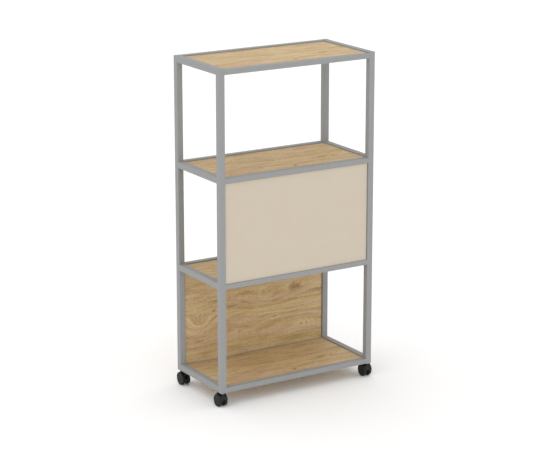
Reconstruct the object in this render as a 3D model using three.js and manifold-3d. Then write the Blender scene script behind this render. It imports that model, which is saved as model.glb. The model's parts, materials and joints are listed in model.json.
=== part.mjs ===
// Rolling double-sided bookcase: a welded square-tube frame, four boards, two panels and four twin-wheel casters.
// Millimetres, +Z up. The origin is on the floor under the middle of the bookcase, X runs along it, and the front
// is -Y.
import * as THREE from "three";
import { mergeVertices } from "three/addons/utils/BufferGeometryUtils.js";
import Module from "manifold-3d";

const wasm = await Module();
wasm.setup();

// Frame of square tube, with lower rectangular tube for the front rails and for the rail under the back panel
const frameWidth = 700;
const frameDepth = 345;
const tubeSize = 25;
const lowRailHeight = 20;
const tubeWall = 1.5;
const levelPitch = 415;
const levelNames = ["bottom", "lower", "upper", "top"];

// Boards, lying on tabs inside each level's ring of rails
const boardThickness = 18;
const boardGap = 1;

// Panels, each standing on a low rail within the depth of the tube
const panelThickness = 16;
const panelSetback = 6;
const panelSideGap = 1.5;
const panelHeadGap = 1;
const backPanelBay = { floor: "bottom", ceiling: "lower" };
const frontPanelBay = { floor: "lower", ceiling: "upper" };

// Tabs welded to the rails, each with a screw hole
const tabLength = 30;
const tabReach = 22;
const tabThickness = 2;
const tabHole = 5;
const tabsOnLongRail = 3;
const tabsOnShortRail = 2;

// Plates in the tops of the posts and sockets in their feet
const capThickness = 2;
const socketLength = 30;

// Caster wheels
const wheelDiameter = 50;
const wheelWidth = 11.5;
const wheelSpacing = 13;
const wheelShoulder = 3;
const wheelInnerEdge = 1;
const wheelRim = 6;
const wheelDish = 1.5;
const wheelHub = 15;
const wheelBoreDepth = 8;

// Caster stem, its washer and the axle
const trail = 14;
const shankDiameter = 9.4;
const shankLength = 25;
const collarFlats = 14;
const collarThickness = 3;
const pintleDiameter = 7;
const pintleLength = 24;
const washerDiameter = 16;
const washerThickness = 1;
const axleDiameter = 5;

// Caster hood
const hoodRise = 3.7;
const hoodWidth = 11.4;
const hoodTail = 21;
const hoodTailDrop = 12;
const hoodCorner = 8;
const fenderGap = 1;
const fenderWall = 1.6;
const fenderInset = 1.5;
const fenderNoseAngle = THREE.MathUtils.degToRad(172);
const fenderTailAngle = THREE.MathUtils.degToRad(70);

// Clearances, and the overrun of every cut
const turningGap = 0.15;
const runningGap = 0.3;
const overrun = 1;

// Facets round a turned piece
const wheelFacets = 24;
const pinFacets = 16;
const holeFacets = 8;
const hexFacets = 6;
const arcFacets = 6;

// Places that follow from the sizes
const wheelRadius = wheelDiameter / 2;
const hoodTop = wheelDiameter + hoodRise;
const washerTop = hoodTop + runningGap + washerThickness;
const frameFoot = washerTop + collarThickness;
const tubeHalf = tubeSize / 2;
const postX = frameWidth / 2 - tubeHalf;
const postY = frameDepth / 2 - tubeHalf;
const innerWidth = frameWidth - 2 * tubeSize;
const innerDepth = frameDepth - 2 * tubeSize;
const levelFoot = (level) => frameFoot + levelNames.indexOf(level) * levelPitch;
const postLength = levelFoot(levelNames.at(-1)) - frameFoot + tubeSize;
const panelBack = -tubeHalf + panelSetback + panelThickness;

const axisX = new THREE.Vector3(1, 0, 0);
const axisY = new THREE.Vector3(0, 1, 0);
const axisZ = new THREE.Vector3(0, 0, 1);
const axes = ["x", "y", "z"];

const finishes = {
  paintedSteel: { color: 0x9f9f9f, roughness: 0.55, metalness: 0.1 },
  oakBoard: { color: 0xc9a574, roughness: 0.6, metalness: 0 },
  beigeBoard: { color: 0xcfc2b0, roughness: 0.55, metalness: 0 },
  bareSteel: { color: 0x8d8f92, roughness: 0.35, metalness: 0.9 },
  blackNylon: { color: 0x1d1d1e, roughness: 0.5, metalness: 0 },
};

// Joining and cutting

function toSolid(geometry) {
  const bare = geometry.clone();
  bare.deleteAttribute("normal");
  bare.deleteAttribute("uv");
  const merged = mergeVertices(bare);
  const corners = [];
  for (let i = 0; i < merged.index.count; i += 3) {
    const [a, b, c] = [0, 1, 2].map((k) => merged.index.getX(i + k));
    if (a !== b && b !== c && c !== a) corners.push(a, b, c);
  }
  return new wasm.Manifold(new wasm.Mesh({
    numProp: 3,
    vertProperties: new Float32Array(merged.attributes.position.array),
    triVerts: new Uint32Array(corners),
  }));
}

function toGeometry(solid) {
  const mesh = solid.getMesh();
  const geometry = new THREE.BufferGeometry();
  geometry.setAttribute("position", new THREE.BufferAttribute(mesh.vertProperties, 3));
  geometry.setIndex(new THREE.BufferAttribute(mesh.triVerts, 1));
  geometry.computeVertexNormals();
  return geometry;
}

const join = (solids) => solids.reduce((whole, next) => whole.add(next));
const cut = (solid, tools) => tools.reduce((whole, tool) => whole.subtract(tool), solid);

// Basic shapes

function block(low, high) {
  const geometry = new THREE.BoxGeometry(...high.map((value, axis) => value - low[axis]));
  return geometry.translate(...high.map((value, axis) => (value + low[axis]) / 2));
}

// A faceted bar from one end to the other along an axis, whose flats lie on the radius when it cuts a hole
function roundBar(axis, radius, from, to, facets, asHole = false) {
  const drawn = asHole ? radius / Math.cos(Math.PI / facets) : radius;
  const geometry = new THREE.CylinderGeometry(drawn, drawn, to - from, facets);
  geometry.translate(0, (from + to) / 2, 0);
  if (axis === "x") geometry.rotateZ(-Math.PI / 2);
  if (axis === "z") geometry.rotateX(Math.PI / 2);
  return geometry;
}

// A profile of [radius, height] turned about the height, with its flats on the radius and one flat at the bottom
function turned(profile, facets) {
  const grown = 1 / Math.cos(Math.PI / facets);
  const points = profile.map(([radius, height]) => new THREE.Vector2(radius * grown, height));
  return new THREE.LatheGeometry(points, facets, Math.PI / facets);
}

// An outline drawn in Y and Z, as thick as given along X
function sidePlate(outline, thickness) {
  const geometry = new THREE.ExtrudeGeometry(outline, {
    depth: thickness, bevelEnabled: false, curveSegments: arcFacets,
  });
  geometry.translate(0, 0, -thickness / 2);
  return geometry.applyMatrix4(new THREE.Matrix4().makeBasis(axisY, axisZ, axisX));
}

// Middles of equal stretches of a length, counted from its middle
const spread = (count, length) => Array.from({ length: count }, (_, i) => ((i + 0.5) / count - 0.5) * length);

const bookcase = new THREE.Group();

function place(name, geometry, finish, [x, y, z], parent = bookcase) {
  const mesh = new THREE.Mesh(geometry, new THREE.MeshStandardMaterial(finishes[finish]));
  mesh.name = name;
  mesh.position.set(x, y, z);
  parent.add(mesh);
}

// Tube and its tabs

// A tube about the origin, as large outside as given on X, Y and Z, open at both ends of its axis
function tube(axis, size) {
  const outside = size.map((value) => value / 2);
  const inside = outside.map((half, i) => (axes[i] === axis ? half + overrun : half - tubeWall));
  const whole = (half) => toSolid(block(half.map((value) => -value), half));
  return whole(outside).subtract(whole(inside));
}

// One tab: `along` its tube at `middle`, standing out on axis `out` from a tube `half` as wide there, its lower
// flat face at `seat` on axis `flat`
function weldedTab({ along, out, outward, half, flat, seat, middle }) {
  const ends = {
    [along]: [middle - tabLength / 2, middle + tabLength / 2],
    [out]: [half - tubeWall / 2, half + tabReach].map((value) => outward * value).sort((a, b) => a - b),
    [flat]: [seat, seat + tabThickness],
  };
  const centre = { [along]: middle, [out]: outward * (half + tabReach / 2), [flat]: 0 };
  const plate = block(...ends[along].map((_, end) => axes.map((axis) => ends[axis][end])));
  const hole = roundBar(flat, tabHole / 2, seat - overrun, seat + tabThickness + overrun, holeFacets, true);
  return toSolid(plate).subtract(toSolid(hole.translate(...axes.map((axis) => centre[axis]))));
}

// A rail with board tabs flush with its underside, and panel tabs above or below it where a panel stands
function rail({ axis, length, height, inward, boardTabs, panelTabs = [] }) {
  const across = axis === "x" ? "y" : "x";
  const size = { [axis]: length, [across]: tubeSize, z: height };
  const tabs = spread(boardTabs, length).map((middle) => weldedTab({
    along: axis, out: across, outward: inward, half: tubeHalf, flat: "z", seat: -height / 2, middle,
  }));
  for (const side of panelTabs) {
    for (const middle of spread(tabsOnLongRail, length)) {
      tabs.push(weldedTab({
        along: axis, out: "z", outward: side, half: height / 2, flat: across, seat: panelBack, middle,
      }));
    }
  }
  return toGeometry(join([tube(axis, axes.map((name) => size[name])), ...tabs]));
}

// Which sides of a level's long rail a panel in the given bay meets: above the bay's floor, below its ceiling
const panelSides = (bay, level) => [...(level === bay.floor ? [1] : []), ...(level === bay.ceiling ? [-1] : [])];

function makeLevel(level) {
  const foot = levelFoot(level);
  const longRail = (height, inward, bay) => rail({
    axis: "x", length: innerWidth, height, inward, boardTabs: tabsOnLongRail, panelTabs: panelSides(bay, level),
  });
  const shortRail = (inward) => rail({
    axis: "y", length: innerDepth, height: tubeSize, inward, boardTabs: tabsOnShortRail,
  });
  const rearRailHeight = level === backPanelBay.floor ? lowRailHeight : tubeSize;
  const railHeights = [lowRailHeight, rearRailHeight, tubeSize];
  const [lowMiddle, rearMiddle, middle] = railHeights.map((height) => foot + height / 2);
  place(`front_${level}_rail`, longRail(lowRailHeight, 1, frontPanelBay), "paintedSteel", [0, -postY, lowMiddle]);
  place(`rear_${level}_rail`, longRail(rearRailHeight, -1, backPanelBay), "paintedSteel", [0, postY, rearMiddle]);
  place(`left_${level}_rail`, shortRail(1), "paintedSteel", [-postX, 0, middle]);
  place(`right_${level}_rail`, shortRail(-1), "paintedSteel", [postX, 0, middle]);

  const halfX = innerWidth / 2 - boardGap;
  const halfY = innerDepth / 2 - boardGap;
  const board = block([-halfX, -halfY, 0], [halfX, halfY, boardThickness]);
  place(`${level}_board`, board, "oakBoard", [0, 0, foot + tabThickness]);
}

function makePanel(name, bay, centreY, finish) {
  const halfX = innerWidth / 2 - panelSideGap;
  const foot = levelFoot(bay.floor) + lowRailHeight;
  const head = levelFoot(bay.ceiling) - panelHeadGap;
  const panel = block([-halfX, panelBack - panelThickness, 0], [halfX, panelBack, head - foot]);
  place(name, panel, finish, [0, centreY, foot]);
}

// Posts, with a plate in the top and a socket for the caster in the foot

function makePost(name, x, y) {
  const bore = tubeHalf - tubeWall;
  const post = toGeometry(tube("z", [tubeSize, tubeSize, postLength]));
  const cap = block([-bore, -bore, -capThickness], [bore, bore, 0]);
  const hole = roundBar("z", shankDiameter / 2 + turningGap, -overrun, socketLength + overrun, pinFacets, true);
  const socket = toSolid(block([-bore, -bore, 0], [bore, bore, socketLength])).subtract(toSolid(hole));
  place(`${name}_post`, post, "paintedSteel", [x, y, frameFoot + postLength / 2]);
  place(`${name}_post_cap`, cap, "paintedSteel", [x, y, frameFoot + postLength]);
  place(`${name}_stem_socket`, toGeometry(socket), "bareSteel", [x, y, frameFoot]);
}

// Casters, drawn with the stem on the origin of X and Y, the floor at zero and the wheels trailing towards +Y

function stemGeometry() {
  const collarRadius = collarFlats / 2 / Math.cos(Math.PI / hexFacets);
  const shank = roundBar("z", shankDiameter / 2, frameFoot - overrun, frameFoot + shankLength, pinFacets);
  const collar = roundBar("z", collarRadius, washerTop, frameFoot, hexFacets);
  const pintle = roundBar("z", pintleDiameter / 2, washerTop - pintleLength, washerTop + overrun, pinFacets);
  return toGeometry(join([collar, shank, pintle].map(toSolid)));
}

function washerGeometry() {
  const foot = washerTop - washerThickness;
  const disc = roundBar("z", washerDiameter / 2, foot, washerTop, pinFacets);
  const bore = pintleDiameter / 2 + turningGap;
  const hole = roundBar("z", bore, foot - overrun, washerTop + overrun, pinFacets, true);
  return toGeometry(toSolid(disc).subtract(toSolid(hole)));
}

function hoodGeometry() {
  const fenderInside = wheelRadius / Math.cos(Math.PI / wheelFacets) + fenderGap;
  const fenderOutside = fenderInside + fenderWall;
  const webRadius = fenderInside + fenderWall / 2;
  const bossRadius = hoodWidth / 2;
  const hubRadius = wheelHub / 2;
  const riseAngle = Math.acos(-(trail + bossRadius) / webRadius);
  const tailY = trail + hoodTail;

  const web = new THREE.Shape();
  web.absarc(trail, wheelRadius, webRadius, fenderNoseAngle, riseAngle, true);
  web.lineTo(-bossRadius, hoodTop);
  web.absarc(tailY - hoodCorner, hoodTop - hoodCorner, hoodCorner, Math.PI / 2, 0, true);
  web.lineTo(tailY, hoodTop - hoodTailDrop);
  web.absarc(trail, wheelRadius, hubRadius, 0, Math.PI, true);
  web.closePath();

  const fender = new THREE.Shape();
  fender.absarc(trail, wheelRadius, fenderOutside, fenderTailAngle, fenderNoseAngle, false);
  fender.absarc(trail, wheelRadius, fenderInside, fenderNoseAngle, fenderTailAngle, true);
  fender.closePath();

  const fenderWidth = wheelSpacing + 2 * (wheelWidth - fenderInset);
  const hubHalf = wheelSpacing / 2 - runningGap;
  const hub = roundBar("x", hubRadius, -hubHalf, hubHalf, pinFacets).translate(0, trail, wheelRadius);
  const pad = roundBar("z", washerDiameter / 2, hoodTop - hoodRise + overrun, hoodTop, pinFacets);
  const pintleFoot = washerTop - pintleLength - runningGap;
  const pintleClear = pintleDiameter / 2 + turningGap;
  const pintleBore = roundBar("z", pintleClear, pintleFoot, hoodTop + overrun, pinFacets, true);
  const boreEnd = wheelSpacing / 2 + overrun;
  const axleBore = roundBar("x", axleDiameter / 2 + turningGap, -boreEnd, boreEnd, pinFacets, true);
  axleBore.translate(0, trail, wheelRadius);

  const body = [sidePlate(web, hoodWidth), sidePlate(fender, fenderWidth), hub, pad].map(toSolid);
  return toGeometry(cut(join(body), [pintleBore, axleBore].map(toSolid)));
}

// A wheel from its inner face at height zero to its outer face, with a blind bore for the axle
function wheelGeometry() {
  const bore = axleDiameter / 2 + turningGap;
  const hub = wheelHub / 2;
  const rim = wheelRadius - wheelRim;
  const shoulder = Array.from({ length: arcFacets / 2 + 1 }, (_, i) => {
    const turn = (i / (arcFacets / 2)) * (Math.PI / 2);
    return [
      wheelRadius - wheelShoulder * (1 - Math.cos(turn)),
      wheelWidth - wheelShoulder * (1 - Math.sin(turn)),
    ];
  });
  const profile = [
    [0, wheelBoreDepth], [bore, wheelBoreDepth], [bore, 0],
    [hub, 0], [hub, wheelDish], [rim, wheelDish], [rim, 0],
    [wheelRadius - wheelInnerEdge, 0], [wheelRadius, wheelInnerEdge],
    ...shoulder,
    [rim, wheelWidth], [rim, wheelWidth - wheelDish],
    [hub, wheelWidth - wheelDish], [hub, wheelWidth], [0, wheelWidth],
  ];
  return turned(profile, wheelFacets);
}

function axleGeometry() {
  const half = wheelSpacing / 2 + wheelBoreDepth - runningGap;
  return roundBar("x", axleDiameter / 2, -half, half, pinFacets);
}

function makeCaster(name, x, y, turn) {
  const caster = new THREE.Group();
  caster.position.set(x, y, 0);
  caster.rotation.z = turn;
  bookcase.add(caster);
  const hubAt = [0, trail, wheelRadius];
  place(`${name}_caster_stem`, stemGeometry(), "bareSteel", [0, 0, 0], caster);
  place(`${name}_caster_washer`, washerGeometry(), "bareSteel", [0, 0, 0], caster);
  place(`${name}_caster_hood`, hoodGeometry(), "blackNylon", [0, 0, 0], caster);
  place(`${name}_caster_axle`, axleGeometry(), "bareSteel", hubAt, caster);
  // A caster that is turned round has its left wheel on its other side
  for (const side of [-1, 1]) {
    const isLeft = side * Math.cos(turn) < 0;
    const wheel = wheelGeometry().rotateZ(-side * Math.PI / 2).translate(side * wheelSpacing / 2, 0, 0);
    place(`${name}_caster_${isLeft ? "left" : "right"}_wheel`, wheel, "blackNylon", hubAt, caster);
  }
}

for (const [endName, endY, turn] of [["front", -postY, 0], ["rear", postY, Math.PI]]) {
  for (const [sideName, sideX] of [["left", -postX], ["right", postX]]) {
    makePost(`${endName}_${sideName}`, sideX, endY);
    makeCaster(`${endName}_${sideName}`, sideX, endY, turn);
  }
}
levelNames.forEach(makeLevel);
makePanel("front_panel", frontPanelBay, -postY, "beigeBoard");
makePanel("back_panel", backPanelBay, postY, "oakBoard");

export default bookcase;
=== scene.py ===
import json
import math

import bmesh
import bpy
from mathutils import Matrix, Vector


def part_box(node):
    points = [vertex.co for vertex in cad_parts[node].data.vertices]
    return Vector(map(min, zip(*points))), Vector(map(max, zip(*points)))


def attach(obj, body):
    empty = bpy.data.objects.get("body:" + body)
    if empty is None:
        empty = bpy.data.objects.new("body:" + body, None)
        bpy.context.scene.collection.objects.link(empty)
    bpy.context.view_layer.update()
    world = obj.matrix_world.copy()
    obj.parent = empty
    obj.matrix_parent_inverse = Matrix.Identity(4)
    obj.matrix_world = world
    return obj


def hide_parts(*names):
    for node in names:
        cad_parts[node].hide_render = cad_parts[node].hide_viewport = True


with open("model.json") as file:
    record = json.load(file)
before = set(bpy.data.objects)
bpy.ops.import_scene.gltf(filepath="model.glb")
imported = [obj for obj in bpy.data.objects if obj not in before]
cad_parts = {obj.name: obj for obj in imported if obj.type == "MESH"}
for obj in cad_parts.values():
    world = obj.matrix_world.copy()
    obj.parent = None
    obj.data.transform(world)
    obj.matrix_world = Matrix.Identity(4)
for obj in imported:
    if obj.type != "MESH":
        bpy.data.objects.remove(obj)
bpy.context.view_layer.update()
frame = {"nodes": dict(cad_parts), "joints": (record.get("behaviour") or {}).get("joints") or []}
print("loaded the frame:", len(frame["nodes"]), "nodes")

mm = 0.001
alongX, alongY, alongZ = Vector((1, 0, 0)), Vector((0, 1, 0)), Vector((0, 0, 1))


# Camera, light and floor

camera = {
    "place": (-3.9808, -6.4081, 2.6844),
    "yaw": 0.5560,  # turned from +Y towards +X
    "dip": 0.2642,  # looking down
    "lens": 129.88,
    "sensor": 36,
}


def makeCamera():
    data = bpy.data.cameras.new("camera")
    data.sensor_width = camera["sensor"]
    data.lens = camera["lens"]
    eye = bpy.data.objects.new("camera", data)
    eye.location = camera["place"]
    eye.rotation_euler = (math.pi / 2 - camera["dip"], 0, -camera["yaw"])
    bpy.context.scene.collection.objects.link(eye)
    bpy.context.scene.camera = eye


# A node with its settings and its inputs, which are values or other nodes' outputs
def addNode(tree, kind, settings={}, inputs={}):
    node = tree.nodes.new("ShaderNode" + kind)
    for name, value in settings.items():
        setattr(node, name, value)
    for name, value in inputs.items():
        if isinstance(value, bpy.types.NodeSocket):
            tree.links.new(value, node.inputs[name])
        else:
            node.inputs[name].default_value = value
    return node


def toLinear(hexColour):
    shares = [int(hexColour[i:i + 2], 16) / 255 for i in (1, 3, 5)]
    return tuple(s / 12.92 if s <= 0.04045 else ((s + 0.055) / 1.055) ** 2.4 for s in shares) + (1,)


studio = {
    "ambient": 0.945,  # of the world on the object; the camera sees it white
    "lamps": [
        # name, strength, soft angle, height over the horizon, turned from the front towards the left
        ("topLamp", 0.25, 80, 75, 150),
        ("frontLamp", 0.3, 70, 30, 45),
    ],
    "floorSize": 30,
    "floor": "#ffffff",
    "floorGlow": 0.018,  # for the camera alone, so that the bare floor is as white as the backdrop
}


# One where a ray comes from the camera or off gloss or through glass, and otherwise zero
def seenRays(tree):
    rays = addNode(tree, "LightPath")
    both = addNode(tree, "Math", {"operation": "MAXIMUM"},
                   {0: rays.outputs["Is Camera Ray"], 1: rays.outputs["Is Glossy Ray"]})
    seen = addNode(tree, "Math", {"operation": "MAXIMUM"},
                   {0: both.outputs[0], 1: rays.outputs["Is Transmission Ray"]})
    return seen.outputs[0]


def makeStudio():
    scene = bpy.context.scene
    scene.view_settings.view_transform = "Standard"
    world = bpy.data.worlds.new("studio")
    scene.world = world
    world.use_nodes = True
    tree = world.node_tree
    strength = addNode(tree, "MapRange", {},
                       {"Value": seenRays(tree), "To Min": studio["ambient"], "To Max": 1})
    background = tree.nodes["Background"]
    background.inputs["Color"].default_value = (1, 1, 1, 1)
    tree.links.new(strength.outputs[0], background.inputs["Strength"])

    for name, strength, softness, height, turn in studio["lamps"]:
        sun = bpy.data.lights.new(name, "SUN")
        sun.energy = strength
        sun.angle = math.radians(softness)
        lamp = bpy.data.objects.new(name, sun)
        lamp.rotation_euler = (math.radians(90 - height), 0, math.radians(-turn))
        scene.collection.objects.link(lamp)

    bm = bmesh.new()
    bmesh.ops.create_grid(bm, x_segments=1, y_segments=1, size=studio["floorSize"] / 2)
    floor = newObject("floor", bm, [makeFloorPaint()])


# Matt white studio floor: no gloss, and it keeps the shadow
def makeFloorPaint():
    material = bpy.data.materials.new("matt studio floor")
    material.use_nodes = True
    tree = material.node_tree
    shader = tree.nodes["Principled BSDF"]
    shader.inputs["Base Color"].default_value = toLinear(studio["floor"])
    shader.inputs["Roughness"].default_value = 1
    shader.inputs["Specular IOR Level"].default_value = 0
    shader.inputs["Emission Color"].default_value = (1, 1, 1, 1)
    glow = addNode(tree, "Math", {"operation": "MULTIPLY"}, {0: seenRays(tree), 1: studio["floorGlow"]})
    tree.links.new(glow.outputs[0], shader.inputs["Emission Strength"])
    return material


# Materials

# How many times a pattern repeats in a metre along and across, from its real size in millimetres
def perMetre(along, across):
    return (1 / (along * mm), 1 / (across * mm), 1 / (across * mm))


def newMaterial(name, metallic=0, ior=1.5, specular=0.5):
    material = bpy.data.materials.new(name)
    material.use_nodes = True
    shader = material.node_tree.nodes["Principled BSDF"]
    shader.inputs["Metallic"].default_value = metallic
    if not metallic:
        shader.inputs["IOR"].default_value = ior
        shader.inputs["Specular IOR Level"].default_value = specular
    return material, material.node_tree, shader


powderCoat = {
    "grey": "#9b9c9c", "shade": "#969797", "specular": 0.1,
    "mottle": 45,
    "peel": 1.8, "peelDepth": 0.03, "peelStrength": 0.6, "peelHarshness": 0.4,
    "roughness": (0.52, 0.64),
}


# Polyester powder baked on steel: an even satin grey with a fine orange peel that breaks up the highlights.
# The real peel is about 0.5 mm, and is drawn coarser to show.
def makePowderCoat():
    material, tree, shader = newMaterial("powder-coated steel", specular=powderCoat["specular"])
    place = addNode(tree, "TexCoord").outputs["Object"]
    mottle = addNode(tree, "TexNoise", {},
                     {"Vector": place, "Scale": 1 / (powderCoat["mottle"] * mm), "Detail": 3})
    grey, shade = toLinear(powderCoat["grey"]), toLinear(powderCoat["shade"])
    colour = addNode(tree, "Mix", {"data_type": "RGBA"}, {0: mottle.outputs["Fac"], 6: grey, 7: shade})
    tree.links.new(colour.outputs[2], shader.inputs["Base Color"])
    peel = addNode(tree, "TexNoise", {},
                   {"Vector": place, "Scale": 1 / (powderCoat["peel"] * mm), "Detail": 2,
                    "Roughness": powderCoat["peelHarshness"]})
    low, high = powderCoat["roughness"]
    sheen = addNode(tree, "MapRange", {}, {"Value": peel.outputs["Fac"], "To Min": low, "To Max": high})
    tree.links.new(sheen.outputs[0], shader.inputs["Roughness"])
    bump = addNode(tree, "Bump", {},
                   {"Height": peel.outputs["Fac"], "Strength": powderCoat["peelStrength"],
                    "Distance": powderCoat["peelDepth"] * mm})
    tree.links.new(bump.outputs[0], shader.inputs["Normal"])
    return material


oak = {
    "tones": [(0.0, "#957b5a"), (0.3, "#b7a07b"), (0.5, "#cab592"), (0.7, "#d4c2a1"), (1.0, "#e1d4b7")],
    "knot": "#7d6245", "pore": "#dbd4cc", "pink": "#fff5f1", "yellow": "#fffae2",
    "tint": (380, 45), "tintFrom": 0.36, "tintTo": 0.64,
    "wave": (300, 70), "waveHeight": 16,
    "ripple": (42, 14), "rippleHeight": 4,
    "patterns": [
        # along and across the grain in millimetres, detail, share of the tones
        (700, 60, 2, 0.30),
        (260, 17, 3, 0.38),
        (125, 8, 3, 0.38),
        (70, 3.8, 3, 0.32),
        (65, 1.7, 2, 0.18),
    ],
    "smudge": (60, 8), "smudgeFrom": 0.6, "smudgeTo": 0.76, "smudgeShare": 0.28,
    "knotRough": (26, 0.9),  # size of the irregularities round a knot, and how far they push its outline
    "knotFrom": 0.42, "knotTo": 0.9,
    "pores": (16, 1.1), "poresFrom": 0.36, "poresTo": 0.46, "poreDepth": 0.05, "poreStrength": 0.5,
    "roughness": (0.56, 0.72), "specular": 0.15, "harshness": 0.6,
}


# One pattern of the grain, from its real size in millimetres along and across
def grainPattern(tree, place, along, across, detail=2):
    stretched = addNode(tree, "VectorMath", {"operation": "MULTIPLY"},
                        {0: place, 1: perMetre(along, across)})
    noise = addNode(tree, "TexNoise", {}, {"Vector": stretched.outputs[0], "Scale": 1, "Detail": detail,
                                           "Roughness": oak["harshness"]})
    return noise.outputs["Fac"]


# The height across the grain, bent by its slow waves and fine ripples
def bendGrain(tree, face, height):
    for bend in ("wave", "ripple"):
        bent = addNode(tree, "Math", {"operation": "MULTIPLY_ADD"},
                       {0: grainPattern(tree, face, *oak[bend]), 1: oak[f"{bend}Height"] * mm, 2: height})
        height = bent.outputs[0]
    return height


# Each knot lifts the grain round it, and darkens its uneven middle
def addKnots(tree, face, height, knots):
    dark = 0.0
    size, push = oak["knotRough"]
    rough = addNode(tree, "MapRange", {}, {"Value": grainPattern(tree, face, size, size, 4),
                                           "To Min": -push / 2, "To Max": push / 2})
    for knotAlong, knotAcross, length, width, rise, darkness in knots:
        away = addNode(tree, "VectorMath", {"operation": "SUBTRACT"},
                       {0: face, 1: (knotAlong * mm, knotAcross * mm, 0)})
        away = addNode(tree, "VectorMath", {"operation": "MULTIPLY"},
                       {0: away.outputs[0], 1: (1 / (length * mm), 1 / (width * mm), 0)})
        away = addNode(tree, "VectorMath", {"operation": "DOT_PRODUCT"},
                       {0: away.outputs[0], 1: away.outputs[0]})
        swell = addNode(tree, "Math", {"operation": "POWER"}, {0: math.exp(-1), 1: away.outputs["Value"]})
        lifted = addNode(tree, "Math", {"operation": "MULTIPLY_ADD"},
                         {0: swell.outputs[0], 1: rise * mm, 2: height})
        height = lifted.outputs[0]
        edge = addNode(tree, "Math", {"operation": "ADD"}, {0: swell.outputs[0], 1: rough.outputs[0]})
        middle = addNode(tree, "MapRange", {"interpolation_type": "SMOOTHSTEP"},
                         {"Value": edge.outputs[0], "From Min": oak["knotFrom"], "From Max": oak["knotTo"],
                          "To Max": darkness})
        dark = addNode(tree, "Math", {"operation": "MAXIMUM"}, {0: dark, 1: middle.outputs[0]}).outputs[0]
    return height, dark


# Streaks from coarse to fine, added up round a middle tone, with a few darker smudges
def oakTones(tree, grain):
    tone = 0.5 - sum(share for *_, share in oak["patterns"])
    for along, across, detail, share in oak["patterns"]:
        toned = addNode(tree, "Math", {"operation": "MULTIPLY_ADD"},
                        {0: grainPattern(tree, grain, along, across, detail), 1: 2 * share, 2: tone})
        tone = toned.outputs[0]
    smudge = addNode(tree, "MapRange", {"interpolation_type": "SMOOTHSTEP"},
                     {"Value": grainPattern(tree, grain, *oak["smudge"], 3), "From Min": oak["smudgeFrom"],
                      "From Max": oak["smudgeTo"], "To Max": oak["smudgeShare"]})
    tone = addNode(tree, "Math", {"operation": "SUBTRACT"}, {0: tone, 1: smudge.outputs[0]}).outputs[0]
    tones = addNode(tree, "ValToRGB", {}, {0: tone})
    stops = tones.color_ramp.elements
    while len(stops) < len(oak["tones"]):
        stops.new(0.5)
    for stop, (at, colour) in zip(stops, oak["tones"]):
        stop.position = at
        stop.color = toLinear(colour)
    return tones.outputs[0]


# A slow drift between a pinker and a yellower tint
def oakTint(tree, face):
    drift = addNode(tree, "MapRange", {},
                    {"Value": grainPattern(tree, face, *oak["tint"], 1), "From Min": oak["tintFrom"],
                     "From Max": oak["tintTo"]})
    tint = addNode(tree, "Mix", {"data_type": "RGBA"},
                   {0: drift.outputs[0], 6: toLinear(oak["pink"]), 7: toLinear(oak["yellow"])})
    return tint.outputs[2]


# Melamine-faced chipboard with an oak decor, pressed with a pore texture: matt, honey-coloured, with soft
# streaks that ripple along the grain and bend round the knots. The pores are drawn wider than the real
# 0.3 mm, to show. turn and flatten bring the face to the XY plane with the grain along X, and shift brings
# its middle to the origin.
def makeOak(name, knots, turn=(0, 0, 0), flatten=(1, 1, 0), shift=(0, 0, 0)):
    material, tree, shader = newMaterial(name, specular=oak["specular"])
    place = addNode(tree, "TexCoord").outputs["Object"]
    face = addNode(tree, "Mapping", {},
                   {"Vector": place, "Scale": flatten, "Rotation": turn, "Location": shift}).outputs[0]
    parts = addNode(tree, "SeparateXYZ", {}, {0: face}).outputs
    height, dark = addKnots(tree, face, bendGrain(tree, face, parts["Y"]), knots)
    grain = addNode(tree, "CombineXYZ", {}, {0: parts["X"], 1: height}).outputs[0]
    colour = addNode(tree, "Mix", {"data_type": "RGBA", "blend_type": "MULTIPLY"},
                     {0: 1.0, 6: oakTones(tree, grain), 7: oakTint(tree, face)}).outputs[2]
    colour = addNode(tree, "Mix", {"data_type": "RGBA"},
                     {0: dark, 6: colour, 7: toLinear(oak["knot"])}).outputs[2]

    # Pores: short dark dashes, also pressed into the surface
    pores = addNode(tree, "MapRange", {"interpolation_type": "SMOOTHSTEP"},
                    {"Value": grainPattern(tree, grain, *oak["pores"], 1), "From Min": oak["poresFrom"],
                     "From Max": oak["poresTo"]})
    shade = addNode(tree, "Mix", {"data_type": "RGBA"},
                    {0: pores.outputs[0], 6: toLinear(oak["pore"]), 7: (1, 1, 1, 1)})
    colour = addNode(tree, "Mix", {"data_type": "RGBA", "blend_type": "MULTIPLY"},
                     {0: 1.0, 6: colour, 7: shade.outputs[2]}).outputs[2]
    tree.links.new(colour, shader.inputs["Base Color"])
    low, high = oak["roughness"]
    sheen = addNode(tree, "MapRange", {}, {"Value": pores.outputs[0], "To Min": high, "To Max": low})
    tree.links.new(sheen.outputs[0], shader.inputs["Roughness"])
    bump = addNode(tree, "Bump", {}, {"Height": pores.outputs[0], "Strength": oak["poreStrength"],
                                      "Distance": oak["poreDepth"] * mm})
    tree.links.new(bump.outputs[0], shader.inputs["Normal"])
    return material


edgeBand = {"light": "#c9b187", "dark": "#b0946a", "streak": (120, 1.6), "roughness": 0.45, "ior": 1.53}


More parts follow.
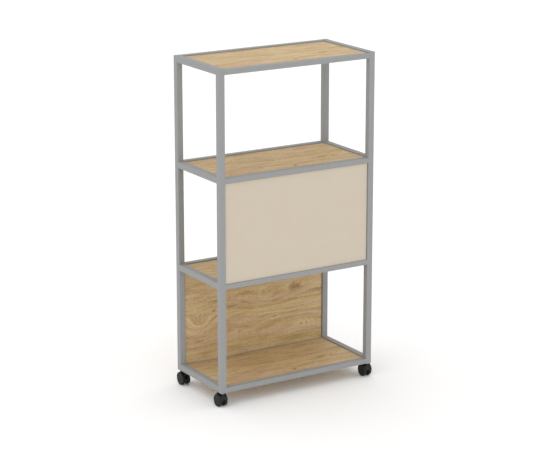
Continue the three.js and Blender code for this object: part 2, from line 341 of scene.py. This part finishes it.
# ABS edge band printed with the same oak: plainer than the face, with straight fine lines and a little more
# sheen
def makeOakBand():
    material, tree, shader = newMaterial("oak edge band", ior=edgeBand["ior"])
    shader.inputs["Roughness"].default_value = edgeBand["roughness"]
    place = addNode(tree, "TexCoord").outputs["Object"]
    stretched = addNode(tree, "VectorMath", {"operation": "MULTIPLY"},
                        {0: place, 1: perMetre(*edgeBand["streak"])})
    lines = addNode(tree, "TexNoise", {}, {"Vector": stretched.outputs[0], "Scale": 1, "Detail": 3})
    light, dark = toLinear(edgeBand["light"]), toLinear(edgeBand["dark"])
    colour = addNode(tree, "Mix", {"data_type": "RGBA"}, {0: lines.outputs["Fac"], 6: light, 7: dark})
    tree.links.new(colour.outputs[2], shader.inputs["Base Color"])
    return material


beige = {
    "light": "#cdc1b0", "dark": "#cabdac", "cloud": 60,
    "grit": 1.5, "gritDepth": 0.02, "gritStrength": 0.4,
    "faceRoughness": 0.5, "bandRoughness": 0.42, "specular": 0.2,
}


# Plain beige melamine: one even warm colour, matt, with the faint pearl grit of the pressed film
def makeBeige(name, roughness):
    material, tree, shader = newMaterial(name, specular=beige["specular"])
    shader.inputs["Roughness"].default_value = roughness
    place = addNode(tree, "TexCoord").outputs["Object"]
    cloud = addNode(tree, "TexNoise", {}, {"Vector": place, "Scale": 1 / (beige["cloud"] * mm), "Detail": 4})
    light, dark = toLinear(beige["light"]), toLinear(beige["dark"])
    colour = addNode(tree, "Mix", {"data_type": "RGBA"}, {0: cloud.outputs["Fac"], 6: light, 7: dark})
    tree.links.new(colour.outputs[2], shader.inputs["Base Color"])
    grit = addNode(tree, "TexNoise", {}, {"Vector": place, "Scale": 1 / (beige["grit"] * mm), "Detail": 1})
    bump = addNode(tree, "Bump", {}, {"Height": grit.outputs["Fac"], "Strength": beige["gritStrength"],
                                      "Distance": beige["gritDepth"] * mm})
    tree.links.new(bump.outputs[0], shader.inputs["Normal"])
    return material


zinc = {"bright": "#c3c6c9", "dull": "#a2a5a6", "spangle": 3, "roughness": (0.26, 0.42)}


# Zinc-plated steel with a clear passivation: a cool metal, a little cloudy, with a blurred shine
def makeZinc():
    material, tree, shader = newMaterial("zinc-plated steel", metallic=1)
    place = addNode(tree, "TexCoord").outputs["Object"]
    spangle = addNode(tree, "TexNoise", {},
                      {"Vector": place, "Scale": 1 / (zinc["spangle"] * mm), "Detail": 3})
    bright, dull = toLinear(zinc["bright"]), toLinear(zinc["dull"])
    colour = addNode(tree, "Mix", {"data_type": "RGBA"}, {0: spangle.outputs["Fac"], 6: bright, 7: dull})
    tree.links.new(colour.outputs[2], shader.inputs["Base Color"])
    low, high = zinc["roughness"]
    sheen = addNode(tree, "MapRange", {}, {"Value": spangle.outputs["Fac"], "To Min": low, "To Max": high})
    tree.links.new(sheen.outputs[0], shader.inputs["Roughness"])
    return material


nylon = {
    "black": "#121213", "worn": "#1b1b1c", "patch": 9, "ior": 1.53, "specular": 0.3,
    "grain": 0.9, "grainDepth": 0.03, "grainStrength": 0.5,
    "hoodRoughness": (0.38, 0.5), "wheelRoughness": (0.46, 0.6),
}


# Moulded black nylon: a deep satin black whose moulded grain softens the shine; the wheels are scuffed a
# little duller than the hoods
def makeNylon(name, roughness):
    material, tree, shader = newMaterial(name, ior=nylon["ior"], specular=nylon["specular"])
    place = addNode(tree, "TexCoord").outputs["Object"]
    patch = addNode(tree, "TexNoise", {}, {"Vector": place, "Scale": 1 / (nylon["patch"] * mm), "Detail": 4})
    black, worn = toLinear(nylon["black"]), toLinear(nylon["worn"])
    colour = addNode(tree, "Mix", {"data_type": "RGBA"}, {0: patch.outputs["Fac"], 6: black, 7: worn})
    tree.links.new(colour.outputs[2], shader.inputs["Base Color"])
    low, high = roughness
    sheen = addNode(tree, "MapRange", {}, {"Value": patch.outputs["Fac"], "To Min": low, "To Max": high})
    tree.links.new(sheen.outputs[0], shader.inputs["Roughness"])
    grain = addNode(tree, "TexNoise", {}, {"Vector": place, "Scale": 1 / (nylon["grain"] * mm), "Detail": 1})
    bump = addNode(tree, "Bump", {}, {"Height": grain.outputs["Fac"], "Strength": nylon["grainStrength"],
                                      "Distance": nylon["grainDepth"] * mm})
    tree.links.new(bump.outputs[0], shader.inputs["Normal"])
    return material


# Making pieces

sharpAngle = math.radians(40)  # edges sharper than this keep their crease


def newObject(name, bm, materials):
    mesh = bpy.data.meshes.new(name)
    bm.to_mesh(mesh)
    bm.free()
    for material in materials:
        mesh.materials.append(material)
    piece = bpy.data.objects.new(name, mesh)
    bpy.context.scene.collection.objects.link(piece)
    return piece


# A finished piece rides on its body and stands for its nodes
def addPiece(name, bm, materials, body, nodes=()):
    piece = newObject(name, bm, materials)
    piece.data.shade_smooth()
    piece.data.set_sharp_from_angle(angle=sharpAngle)
    weighted = piece.modifiers.new("weighted normals", "WEIGHTED_NORMAL")
    weighted.keep_sharp = True
    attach(piece, body)
    if nodes:
        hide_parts(*nodes)
    return piece


# Adds a copy of a shape to a bmesh, moved by a matrix
def stamp(bm, shape, matrix):
    before = len(bm.verts)
    mesh = bpy.data.meshes.new("stamp")
    shape.to_mesh(mesh)
    bm.from_mesh(mesh)
    bpy.data.meshes.remove(mesh)
    bm.verts.ensure_lookup_table()
    bmesh.ops.transform(bm, matrix=matrix, verts=bm.verts[before:])


# Rounds every edge that is sharper than an angle in degrees
def easeEdges(bm, offset, segments, sharper=50):
    limit = math.radians(sharper)
    edges = [e for e in bm.edges if len(e.link_faces) == 2 and e.calc_face_angle() > limit]
    bmesh.ops.bevel(bm, geom=edges, offset=offset, offset_type="OFFSET", segments=segments, profile=0.5,
                    affect="EDGES", material=-1, clamp_overlap=True)


# A frame at a point whose Y points out of the tube and whose Z crosses the plate
def seat(point, out, flat):
    turn = Matrix((out.cross(flat), out, flat)).transposed()
    return Matrix.Translation(point) @ turn.to_4x4()


# The flat face that a plate is made from is drawn up by its thickness
def drawUp(bm, thickness):
    drawn = bmesh.ops.extrude_face_region(bm, geom=bm.faces[:])
    moved = [item for item in drawn["geom"] if isinstance(item, bmesh.types.BMVert)]
    bmesh.ops.translate(bm, vec=(0, 0, thickness), verts=moved)
    bmesh.ops.recalc_face_normals(bm, faces=bm.faces[:])


# A flat rectangle with rounded corners in the XY plane, round the origin
def roundedFace(bm, width, depth, corner, cornerSteps):
    bmesh.ops.create_grid(bm, x_segments=1, y_segments=1, size=0.5)
    bmesh.ops.scale(bm, vec=(width, depth, 1), verts=bm.verts[:])
    bmesh.ops.bevel(bm, geom=bm.verts[:], offset=corner, offset_type="OFFSET", segments=cornerSteps,
                    profile=0.5, affect="VERTICES", material=-1)


# A rounded plate on the XY plane with a round hole in its middle
def punchedPlate(width, depth, corner, thickness, hole, cornerSteps=4, holeSteps=24):
    bm = bmesh.new()
    roundedFace(bm, width, depth, corner, cornerSteps)
    bmesh.ops.delete(bm, geom=bm.faces[:], context="FACES_ONLY")
    bmesh.ops.create_circle(bm, segments=holeSteps, radius=hole / 2)
    bmesh.ops.triangle_fill(bm, edges=bm.edges[:], use_beauty=True)
    drawUp(bm, thickness)
    return bm


mergeDistance = 0.001 * mm


# A profile of (radius, height) in millimetres spun round Z
def spun(profile, steps):
    bm = bmesh.new()
    points = [bm.verts.new((radius * mm, 0, height * mm)) for radius, height in profile]
    edges = [bm.edges.new(pair) for pair in zip(points, points[1:])]
    bmesh.ops.spin(bm, geom=points + edges, cent=(0, 0, 0), axis=(0, 0, 1), dvec=(0, 0, 0), angle=math.tau,
                   steps=steps, use_merge=True, use_duplicate=False)
    bmesh.ops.remove_doubles(bm, verts=bm.verts[:], dist=mergeDistance)
    bmesh.ops.recalc_face_normals(bm, faces=bm.faces[:])
    return bm


# Frame of steel tube

levels = ["bottom", "lower", "upper", "top"]
panels = {  # the levels under and over each panel, and the side of the frame that it stands on
    "front_panel": {"floor": "lower", "ceiling": "upper", "end": "front"},
    "back_panel": {"floor": "bottom", "ceiling": "lower", "end": "rear"},
}
ends = {"front": -1, "rear": 1}
sides = {"left": -1, "right": 1}
postLow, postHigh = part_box("front_left_post")
tubeSize = postHigh.x - postLow.x
postX, postY = -(postLow.x + postHigh.x) / 2, -(postLow.y + postHigh.y) / 2
innerX, innerY = postX - tubeSize / 2, postY - tubeSize / 2

tube = {"wall": 1.5 * mm, "corner": 2 * mm, "cornerSteps": 4}
tab = {
    "length": 30 * mm, "reach": 22 * mm, "thickness": 2 * mm, "hole": 5 * mm, "corner": 5 * mm,
    "sunk": 1 * mm, "ease": 0.25 * mm, "beadLength": 24 * mm, "onLongRail": 3, "onShortRail": 2,
    "panelFace": 9.5 * mm,  # from the middle of the tube to the face that the panel tabs lie on
}
bead = {"radius": 1.1 * mm, "pitch": 1.5 * mm, "ripple": 0.16, "facets": 8, "tip": 0.4}


# Tube along Z from the origin: a rounded section, hollowed and drawn out
def steelTube(width, depth, length):
    bm = bmesh.new()
    roundedFace(bm, width, depth, tube["corner"], tube["cornerSteps"])
    middle = bm.faces[:]
    bmesh.ops.inset_region(bm, faces=middle, thickness=tube["wall"], use_even_offset=True, use_boundary=True)
    bmesh.ops.delete(bm, geom=middle, context="FACES")
    drawUp(bm, length)
    return bm


# Weld bead along X, centred: rings drawn out with a ripple for each droplet
def weldBead(length):
    bm = bmesh.new()
    steps = 2 * max(2, round(length / bead["pitch"]))
    bmesh.ops.create_circle(bm, segments=bead["facets"], radius=bead["radius"])
    bmesh.ops.rotate(bm, cent=(0, 0, 0), matrix=Matrix.Rotation(math.pi / 2, 3, "Y"), verts=bm.verts[:])
    bmesh.ops.translate(bm, vec=(-length / 2, 0, 0), verts=bm.verts[:])
    edges, ring = bm.edges[:], bm.verts[:]
    size = 1
    for i in range(steps + 1):
        wanted = bead["tip"] if i in (0, steps) else 1 + bead["ripple"] * (-1) ** i / 2
        x = -length / 2 + length * i / steps
        if i:
            drawn = bmesh.ops.extrude_edge_only(bm, edges=edges)["geom"]
            edges = [item for item in drawn if isinstance(item, bmesh.types.BMEdge)]
            ring = [item for item in drawn if isinstance(item, bmesh.types.BMVert)]
            bmesh.ops.translate(bm, vec=(length / steps, 0, 0), verts=ring)
        growth = wanted / size
        bmesh.ops.scale(bm, vec=(1, growth, growth), space=Matrix.Translation((-x, 0, 0)), verts=ring)
        size = wanted
    bmesh.ops.holes_fill(bm, edges=bm.edges[:])
    bmesh.ops.recalc_face_normals(bm, faces=bm.faces[:])
    return bm


# Places evenly spread along a length, from its middle
def spread(count, length):
    return [((i + 0.5) / count - 0.5) * length for i in range(count)]


# Height of the underside of a level's rails
def levelFoot(level):
    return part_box(f"left_{level}_rail")[0].z


# The front rails and the rail under the back panel end flush with the boards, and the others stand higher
def railHeight(end, level):
    isLow = end == "front" or level == panels["back_panel"]["floor"]
    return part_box(f"{level}_board")[1].z - levelFoot(level) if isLow else tubeSize


# A rail: its tube runs into the rounded corners of the posts, where the seams are ground flush
def makeRail(name, along, foot, length, height, inward, panelOuts, paint):
    bm = bmesh.new()
    middle = foot + alongZ * height / 2
    drawn = length + 2 * tube["corner"]
    if along == alongX:
        section, turn = steelTube(height, tubeSize, drawn), Matrix.Rotation(math.pi / 2, 4, "Y")
    else:
        section, turn = steelTube(tubeSize, height, drawn), Matrix.Rotation(-math.pi / 2, 4, "X")
    stamp(bm, section, Matrix.Translation(middle - along * drawn / 2) @ turn)

    plate = punchedPlate(tab["length"], tab["reach"] + tab["sunk"], tab["corner"], tab["thickness"],
                         tab["hole"])
    bmesh.ops.translate(plate, vec=(0, (tab["reach"] - tab["sunk"]) / 2, 0), verts=plate.verts[:])
    easeEdges(plate, tab["ease"], 1)
    rootBead = weldBead(tab["beadLength"])
    places = spread(tab["onLongRail"] if along == alongX else tab["onShortRail"], length)
    for place in places:
        root = foot + along * place + inward * tubeSize / 2
        stamp(bm, plate, seat(root, inward, alongZ))
        stamp(bm, rootBead, seat(root, inward, alongZ))
    for out in panelOuts:
        for place in places:
            root = middle + along * place + out * height / 2 + alongY * tab["panelFace"]
            stamp(bm, plate, seat(root, out, alongY))
            stamp(bm, rootBead, seat(root + alongY * tab["thickness"], out, alongY))

    # Beads across the tube at the posts, above and below, but not on top of the frame: it is ground flush
    across = weldBead(tubeSize - 2 * tube["corner"])
    for hand in (-1, 1):
        for up in (-1, 1):
            if up == 1 and "_top_" in name:
                continue
            corner = middle + along * hand * length / 2 + alongZ * up * height / 2
            stamp(bm, across, seat(corner, alongZ, along * hand))
    return addPiece(f"{name}_tube", bm, [paint], "frame", [name])


# Four rails at each level, with panel tabs on those that a panel stands on or reaches up to
def makeRails(paint):
    for level in levels:
        foot = levelFoot(level)
        for end, signY in ends.items():
            outs = [alongZ for p in panels.values() if (p["end"], p["floor"]) == (end, level)]
            outs += [-alongZ for p in panels.values() if (p["end"], p["ceiling"]) == (end, level)]
            makeRail(f"{end}_{level}_rail", alongX, Vector((0, signY * postY, foot)), 2 * innerX,
                     railHeight(end, level), alongY * -signY, outs, paint)
        for side, signX in sides.items():
            makeRail(f"{side}_{level}_rail", alongY, Vector((signX * postX, 0, foot)), 2 * innerY,
                     tubeSize, alongX * -signX, [], paint)


cap = {"gap": 0.05 * mm, "ease": 0.3 * mm}
socket = {"corner": 0.5 * mm, "bore": 9.7 * mm, "boreSteps": 32, "ease": 0.4 * mm}


# Posts with the plates in their tops and the sockets for the stems in their feet
def makePosts(paint, plated):
    width = tubeSize - 2 * tube["wall"] - cap["gap"]
    for end, signY in ends.items():
        for side, signX in sides.items():
            name = f"{end}_{side}"
            low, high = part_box(f"{name}_post")
            foot = Matrix.Translation((signX * postX, signY * postY, low.z))
            bm = bmesh.new()
            stamp(bm, steelTube(tubeSize, tubeSize, high.z - low.z), foot)
            addPiece(f"{name}_post_tube", bm, [paint], "frame", [f"{name}_post"])

            capLow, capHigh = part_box(f"{name}_post_cap")
            bm = bmesh.new()
            roundedFace(bm, width, width, socket["corner"], tube["cornerSteps"])
            drawUp(bm, capHigh.z - capLow.z)
            easeEdges(bm, cap["ease"], 2)
            capFoot = Matrix.Translation((signX * postX, signY * postY, capLow.z))
            bmesh.ops.transform(bm, matrix=capFoot, verts=bm.verts[:])
            addPiece(f"{name}_post_top_plate", bm, [paint], "frame", [f"{name}_post_cap"])

            socketLow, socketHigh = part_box(f"{name}_stem_socket")
            bm = punchedPlate(width, width, socket["corner"], socketHigh.z - socketLow.z, socket["bore"],
                              holeSteps=socket["boreSteps"])
            easeEdges(bm, socket["ease"], 2)
            bmesh.ops.transform(bm, matrix=foot, verts=bm.verts[:])
            addPiece(f"{name}_stem_bush", bm, [plated], "frame", [f"{name}_stem_socket"])


# Boards and panels

board = {"ease": 0.8 * mm, "easeSteps": 3, "band": 1.2 * mm}


# A board or panel that fills its node's box: eased edges, and the edge band's outline on both faces
def makeBoard(name, node, flat, face, band):
    low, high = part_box(node)
    bm = bmesh.new()
    bmesh.ops.create_cube(bm, size=1)
    bmesh.ops.scale(bm, vec=high - low, verts=bm.verts[:])
    bmesh.ops.translate(bm, vec=(low + high) / 2, verts=bm.verts[:])
    easeEdges(bm, board["ease"], board["easeSteps"])
    faces = [f for f in bm.faces if abs(f.normal.dot(flat)) > 0.99]
    bmesh.ops.inset_region(bm, faces=faces, thickness=board["band"] - board["ease"], use_even_offset=True)
    for f in bm.faces:
        f.material_index = 0 if f in faces else 1
    return addPiece(name, bm, [face, band], "frame", [node])


# The knots of the visible figure, in millimetres from the middle of the face:
# along, across, length, width, rise of the grain, darkness of the middle
boardKnots = [
    (17, -124, 11, 9, 10, 0.9),
    (-190, 60, 60, 14, 22, 0.1),
    (210, -40, 90, 16, -20, 0.1),
]
backKnots = [
    (190, 46, 42, 20, 28, 0.6),
    (-112, 10, 36, 6, 9, 0.4),
    (-193, 6, 12, 9, 10, 0.45),
    (-262, -42, 62, 44, 52, 0),
    (-262, -112, 34, 5, 8, 0.4),
    (95, -64, 15, 6, 6, 0.4),
    (-72, -100, 12, 5, 5, 0.45),
    (40, 20, 120, 30, 30, 0),
    (230, -100, 110, 26, -30, 0),
]


# The four boards are cut from sheets with the same figure
def makeBoards():
    band, boardFace = makeOakBand(), makeOak("oak melamine board", boardKnots)
    for level in levels:
        makeBoard(f"{level}_board_laminated", f"{level}_board", alongZ, boardFace, band)
    low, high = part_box("back_panel")
    backFace = makeOak("oak melamine panel", backKnots, turn=(-math.pi / 2, 0, 0), flatten=(1, 0, 1),
                       shift=(0, -(low.z + high.z) / 2, 0))
    makeBoard("back_panel_laminated", "back_panel", alongY, backFace, band)
    face = makeBeige("beige melamine", beige["faceRoughness"])
    edge = makeBeige("beige edge band", beige["bandRoughness"])
    makeBoard("front_panel_laminated", "front_panel", alongY, face, edge)


# Screws through the tabs: pan head with a cross recess

screw = {
    "recess": (0.55, 2.1), "recessDepth": 1.3, "recessTaper": 0.6,
    "cornerPull": 0.72,  # draws the corners of the grid in towards a circle
    "head": [(2.6, 2.45), (3.4, 2.0), (3.9, 1.2), (4.0, 0.5), (3.9, 0.0), (2.0, 0.0)],
    "shank": [(2.0, -3.0), (1.9, -12.0), (0.3, -14.5)],
}


# The head's flat top is a grid whose cross sinks in, and its rim is drawn down into the head and the shank
def screwShape():
    bm = bmesh.new()
    near, far = screw["recess"]
    bmesh.ops.create_grid(bm, x_segments=3, y_segments=3, size=1)
    for v in bm.verts:
        isOuter = [abs(c) > 0.5 for c in v.co.xy]  # the grid's lines lie 1/3 and 1 from its middle
        for axis in (0, 1):
            v.co[axis] = math.copysign(far if isOuter[axis] else near, v.co[axis]) * mm
        if all(isOuter):
            v.co.xy *= screw["cornerPull"]
        v.co.z = screw["head"][0][1] * mm
    edges = [e for e in bm.edges if e.is_boundary]
    cross = [f for f in bm.faces if min(abs(c) for c in f.calc_center_median().xy) < near * mm]
    for radius, height in screw["head"] + screw["shank"]:
        drawn = bmesh.ops.extrude_edge_only(bm, edges=edges)["geom"]
        edges = [item for item in drawn if isinstance(item, bmesh.types.BMEdge)]
        for v in [item for item in drawn if isinstance(item, bmesh.types.BMVert)]:
            v.co.xy = v.co.xy.normalized() * radius * mm
            v.co.z = height * mm
    bmesh.ops.holes_fill(bm, edges=edges)
    sunk = bmesh.ops.extrude_face_region(bm, geom=cross)["geom"]
    pit = [item for item in sunk if isinstance(item, bmesh.types.BMVert)]
    bmesh.ops.translate(bm, vec=(0, 0, -screw["recessDepth"] * mm), verts=pit)
    bmesh.ops.scale(bm, vec=(screw["recessTaper"], screw["recessTaper"], 1), verts=pit)
    bmesh.ops.recalc_face_normals(bm, faces=bm.faces[:])
    return bm


# The screws of the boards go up through the tabs, and those of the panels forwards
def makeScrews(plated):
    shape = screwShape()
    middle = tab["reach"] / 2
    for level in levels:
        foot = levelFoot(level)
        bm = bmesh.new()
        for sign in (-1, 1):
            for x in spread(tab["onLongRail"], 2 * innerX):
                stamp(bm, shape, seat(Vector((x, sign * (innerY - middle), foot)), alongY, -alongZ))
            for y in spread(tab["onShortRail"], 2 * innerY):
                stamp(bm, shape, seat(Vector((sign * (innerX - middle), y, foot)), alongY, -alongZ))
        addPiece(f"{level}_board_screws", bm, [plated], "frame")
    for name, panel in panels.items():
        y = ends[panel["end"]] * postY + tab["panelFace"] + tab["thickness"]
        floorTop = levelFoot(panel["floor"]) + railHeight(panel["end"], panel["floor"])
        bm = bmesh.new()
        for z in (floorTop + middle, levelFoot(panel["ceiling"]) - middle):
            for x in spread(tab["onLongRail"], 2 * innerX):
                stamp(bm, shape, seat(Vector((x, y, z)), alongZ, alongY))
        addPiece(f"{name}_screws", bm, [plated], "frame")


# Casters, drawn as the front ones stand: the stem on the origin, the wheels trailing towards +Y

caster = {
    "trail": 14, "wheelDiameter": 50, "wheelSpacing": 13, "wheelWidth": 11.5, "hoodTop": 53.7,
    "runningGap": 0.3, "turnSteps": 40,
}
wheel = {
    "bore": 2.6, "boreDepth": 8, "hub": 7.5, "rim": 19, "dish": 1.5, "ease": 0.4,
    "innerEdge": 1, "innerRound": 0.3, "shoulder": 3, "shoulderSteps": 6, "steps": 72,
    # Outer face, from the tread inwards: (radius, depth under the face)
    "outerFace": [
        (21.0, 0), (20.85, 0.5), (20.55, 0.5), (20.4, 0),  # groove round the rim
        (19, 0), (18.3, 1.2), (17.4, 1.5), (8.9, 1.5), (7.8, 1.05), (7.5, 0.2), (7.2, 0),  # dish
        (6.2, 0), (6.0, 0.3), (5.2, 0.3), (4.9, 0.05), (0, 0),  # groove round the cap
    ],
}


# Wheel profile from the bore over the inner face, the tread and the outer face to the middle
def wheelShape():
    radius, width = caster["wheelDiameter"] / 2, caster["wheelWidth"]
    shoulder, steps = wheel["shoulder"], wheel["shoulderSteps"]
    turns = [math.pi / 2 * i / steps for i in range(steps + 1)]
    profile = [
        (0, wheel["boreDepth"]), (wheel["bore"], wheel["boreDepth"]), (wheel["bore"], wheel["ease"]),
        (wheel["bore"] + wheel["ease"], 0), (wheel["hub"], 0), (wheel["hub"], wheel["dish"]),
        (wheel["rim"], wheel["dish"]), (wheel["rim"] + wheel["ease"], 0), (radius - wheel["innerEdge"], 0),
        (radius - wheel["innerRound"], wheel["innerRound"]), (radius, wheel["innerEdge"]),
        *[(radius - shoulder * (1 - math.cos(a)), width - shoulder * (1 - math.sin(a))) for a in turns],
        *[(reach, width - depth) for reach, depth in wheel["outerFace"]],
    ]
    return spun(profile, wheel["steps"])


# Points from a start round a centre, as spin draws them
def arcFrom(bm, start, centre, angle, steps):
    bmesh.ops.spin(bm, geom=[start], cent=centre, axis=(1, 0, 0), dvec=(0, 0, 0), angle=angle, steps=steps,
                   use_merge=False, use_duplicate=False)
    bm.verts.ensure_lookup_table()
    return bm.verts[-steps:]


# A point of the caster's side view, in millimetres
def yz(y, z):
    return Vector((0, y * mm, z * mm))


hood = {
    "web": 11.4, "tail": 21, "tailDrop": 12, "corner": 8, "ease": 0.9, "easeSteps": 3,
    "noseSteps": 6, "cornerSteps": 8, "underSteps": 12,
    "hub": 7.5, "hubEase": 0.4,
    "fenderGap": 1.2, "fenderWall": 1.6, "fenderInset": 1.5, "fenderEase": 0.64, "fenderSteps": 18,
    "noseAngle": 172, "tailAngle": 70,
    "pad": [(0, 0), (5.4, 0), (7.4, 2.6), (8, 3.4), (8, 4.6), (7.6, 5), (0, 5)],  # (radius, height)
}


axleAt = yz(caster["trail"], caster["wheelDiameter"] / 2)


# A point at a distance and an angle from the axle, seen from the side
def roundAxle(reach, angle):
    return axleAt + yz(reach * math.cos(angle), reach * math.sin(angle))


# Web: from the nose round the wheel, up to the flat top, over the round tail and under the hub
def hoodWeb():
    trail, top = caster["trail"], caster["hoodTop"]
    reach = caster["wheelDiameter"] / 2 + hood["fenderGap"] + hood["fenderWall"] / 2
    nose = math.radians(hood["noseAngle"])
    rise = math.acos(-(trail + hood["web"] / 2) / reach)
    tailY = trail + hood["tail"]

    bm = bmesh.new()
    start = bm.verts.new(roundAxle(reach, nose))
    outline = [start, *arcFrom(bm, start, axleAt, rise - nose, hood["noseSteps"])]
    outline.append(bm.verts.new(yz(-hood["web"] / 2, top)))
    turnIn = bm.verts.new(yz(tailY - hood["corner"], top))
    cornerAt = yz(tailY - hood["corner"], top - hood["corner"])
    outline += [turnIn, *arcFrom(bm, turnIn, cornerAt, -math.pi / 2, hood["cornerSteps"])]
    outline.append(bm.verts.new(yz(tailY, top - hood["tailDrop"])))
    under = bm.verts.new(roundAxle(hood["hub"], 0))
    outline += [under, *arcFrom(bm, under, axleAt, -math.pi, hood["underSteps"])]
    bm.faces.new(outline)
    drawn = bmesh.ops.extrude_face_region(bm, geom=bm.faces[:])
    moved = [item for item in drawn["geom"] if isinstance(item, bmesh.types.BMVert)]
    bmesh.ops.translate(bm, vec=(hood["web"] * mm, 0, 0), verts=moved)
    bmesh.ops.translate(bm, vec=(-hood["web"] / 2 * mm, 0, 0), verts=bm.verts[:])
    bmesh.ops.recalc_face_normals(bm, faces=bm.faces[:])
    easeEdges(bm, hood["ease"] * mm, hood["easeSteps"])
    return bm


# Fender: an arc over the wheels, drawn across both and given its wall on the outside
def hoodFender():
    inside = caster["wheelDiameter"] / 2 + hood["fenderGap"]
    width = caster["wheelSpacing"] + 2 * (caster["wheelWidth"] - hood["fenderInset"])
    nose, tail = math.radians(hood["noseAngle"]), math.radians(hood["tailAngle"])

    bm = bmesh.new()
    start = bm.verts.new(roundAxle(inside, tail))
    bmesh.ops.translate(bm, vec=(-width / 2 * mm, 0, 0), verts=[start])
    arcFrom(bm, start, axleAt, nose - tail, hood["fenderSteps"])
    drawn = bmesh.ops.extrude_edge_only(bm, edges=bm.edges[:])["geom"]
    moved = [item for item in drawn if isinstance(item, bmesh.types.BMVert)]
    bmesh.ops.translate(bm, vec=(width * mm, 0, 0), verts=moved)
    bmesh.ops.recalc_face_normals(bm, faces=bm.faces[:])
    outward = bm.faces[0].normal.dot(bm.faces[0].calc_center_median() - axleAt) > 0
    wall = hood["fenderWall"] * mm * (-1 if outward else 1)
    bmesh.ops.solidify(bm, geom=bm.faces[:], thickness=wall)
    bmesh.ops.recalc_face_normals(bm, faces=bm.faces[:])
    easeEdges(bm, hood["fenderEase"] * mm, 2)
    return bm


# Hood: the web between the wheels, the fender over them, the hub on the axle and the pad under the washer
def hoodShape():
    bm = hoodWeb()
    stamp(bm, hoodFender(), Matrix())

    hub = bmesh.new()
    hubWidth = caster["wheelSpacing"] - 2 * caster["runningGap"]
    bmesh.ops.create_cone(hub, cap_ends=True, segments=caster["turnSteps"], radius1=hood["hub"] * mm,
                          radius2=hood["hub"] * mm, depth=hubWidth * mm)
    easeEdges(hub, hood["hubEase"] * mm, 2)
    stamp(bm, hub, Matrix.Translation(axleAt) @ Matrix.Rotation(math.pi / 2, 4, "Y"))

    padHeight = hood["pad"][-1][1]
    padFoot = Matrix.Translation((0, 0, (caster["hoodTop"] - padHeight) * mm))
    stamp(bm, spun(hood["pad"], caster["turnSteps"]), padFoot)
    return bm


washer = {"bore": 3.7, "radius": 8, "thickness": 1, "ease": 0.25}
stem = {
    "flats": 14, "collar": 3, "collarEase": 0.4, "sunk": 0.5,  # the shank starts that far inside the collar
    "shank": 4.7, "shankLength": 24.5, "shankEase": 1,
    "pintle": 3.5, "pintleLength": 23, "pintleEase": 0.5,
}


# Stem: the pintle in the hood, the hexagonal collar on the washer, and the shank in the post's socket
def stemShape():
    bm = bmesh.new()
    foot = caster["hoodTop"] + caster["runningGap"] + washer["thickness"]
    collar = bmesh.new()
    radius = stem["flats"] / math.cos(math.pi / 6) / 2
    bmesh.ops.create_cone(collar, cap_ends=True, segments=6, radius1=radius * mm, radius2=radius * mm,
                          depth=stem["collar"] * mm)
    easeEdges(collar, stem["collarEase"] * mm, 2)
    stamp(bm, collar, Matrix.Translation((0, 0, (foot + stem["collar"] / 2) * mm)))
    low = foot - stem["pintleLength"]
    high = foot + stem["collar"] + stem["shankLength"]
    shaft = spun([
        (0, low), (stem["pintle"] - stem["pintleEase"], low), (stem["pintle"], low + stem["pintleEase"]),
        (stem["pintle"], foot + stem["sunk"]), (stem["shank"], foot + stem["sunk"]),
        (stem["shank"], high - stem["shankEase"]), (stem["shank"] - stem["shankEase"], high), (0, high),
    ], caster["turnSteps"])
    stamp(bm, shaft, Matrix())
    return bm


# Washer between the hood and the collar
def washerShape():
    low = caster["hoodTop"] + caster["runningGap"]
    high = low + washer["thickness"]
    inner, outer, ease = washer["bore"], washer["radius"], washer["ease"]
    return spun([(inner, low), (outer - ease, low), (outer, low + ease), (outer, high - ease),
                 (outer - ease, high), (inner, high), (inner, low)], caster["turnSteps"])


# Casters: the rear ones are turned round, and their axles keep the solids' shape
def makeCasters(plated, hoodNylon, wheelNylon):
    shapes = {"hood": hoodShape(), "stem": stemShape(), "washer": washerShape(), "wheel": wheelShape()}
    for end, turn in (("front", 0), ("rear", math.pi)):
        for side in sides:
            name = f"{end}_{side}"
            swivel = next(j for j in frame["joints"] if j["name"] == f"{name}_swivel")["pos_m"]
            stands = Matrix.Translation((swivel[0], swivel[1], 0)) @ Matrix.Rotation(turn, 4, "Z")
            for part, finish, slot, body in (("hood", hoodNylon, "black_nylon", f"{name}_caster"),
                                             ("stem", plated, "plated_steel", "frame"),
                                             ("washer", plated, "plated_steel", "frame")):
                bm = bmesh.new()
                stamp(bm, shapes[part], stands)
                addPiece(f"{name}_caster_{part}_fine", bm, [finish], body, [f"{name}_caster_{part}"])
            for hand in (-1, 1):
                isLeft = hand * math.cos(turn) < 0
                handName = "left" if isLeft else "right"
                outward = Matrix.Rotation(hand * math.pi / 2, 4, "Y")
                inner = Matrix.Translation(axleAt + alongX * hand * caster["wheelSpacing"] / 2 * mm)
                bm = bmesh.new()
                stamp(bm, shapes["wheel"], stands @ inner @ outward)
                addPiece(f"{name}_caster_{handName}_wheel_fine", bm, [wheelNylon],
                         f"{name}_caster_wheel_{handName[0]}", [f"{name}_caster_{handName}_wheel"])
            axle = frame["nodes"][f"{name}_caster_axle"]
            axle.data.materials.clear()
            axle.data.materials.append(plated)


makeCamera()
makeStudio()
print("made the camera, the lamps and the floor")
paint, plated = makePowderCoat(), makeZinc()
makeRails(paint)
makePosts(paint, plated)
print("made the frame")
makeBoards()
makeScrews(plated)
print("made the boards, the panels and their screws")
hoodNylon = makeNylon("moulded nylon", nylon["hoodRoughness"])
wheelNylon = makeNylon("moulded nylon wheel", nylon["wheelRoughness"])
makeCasters(plated, hoodNylon, wheelNylon)
print("made the casters")
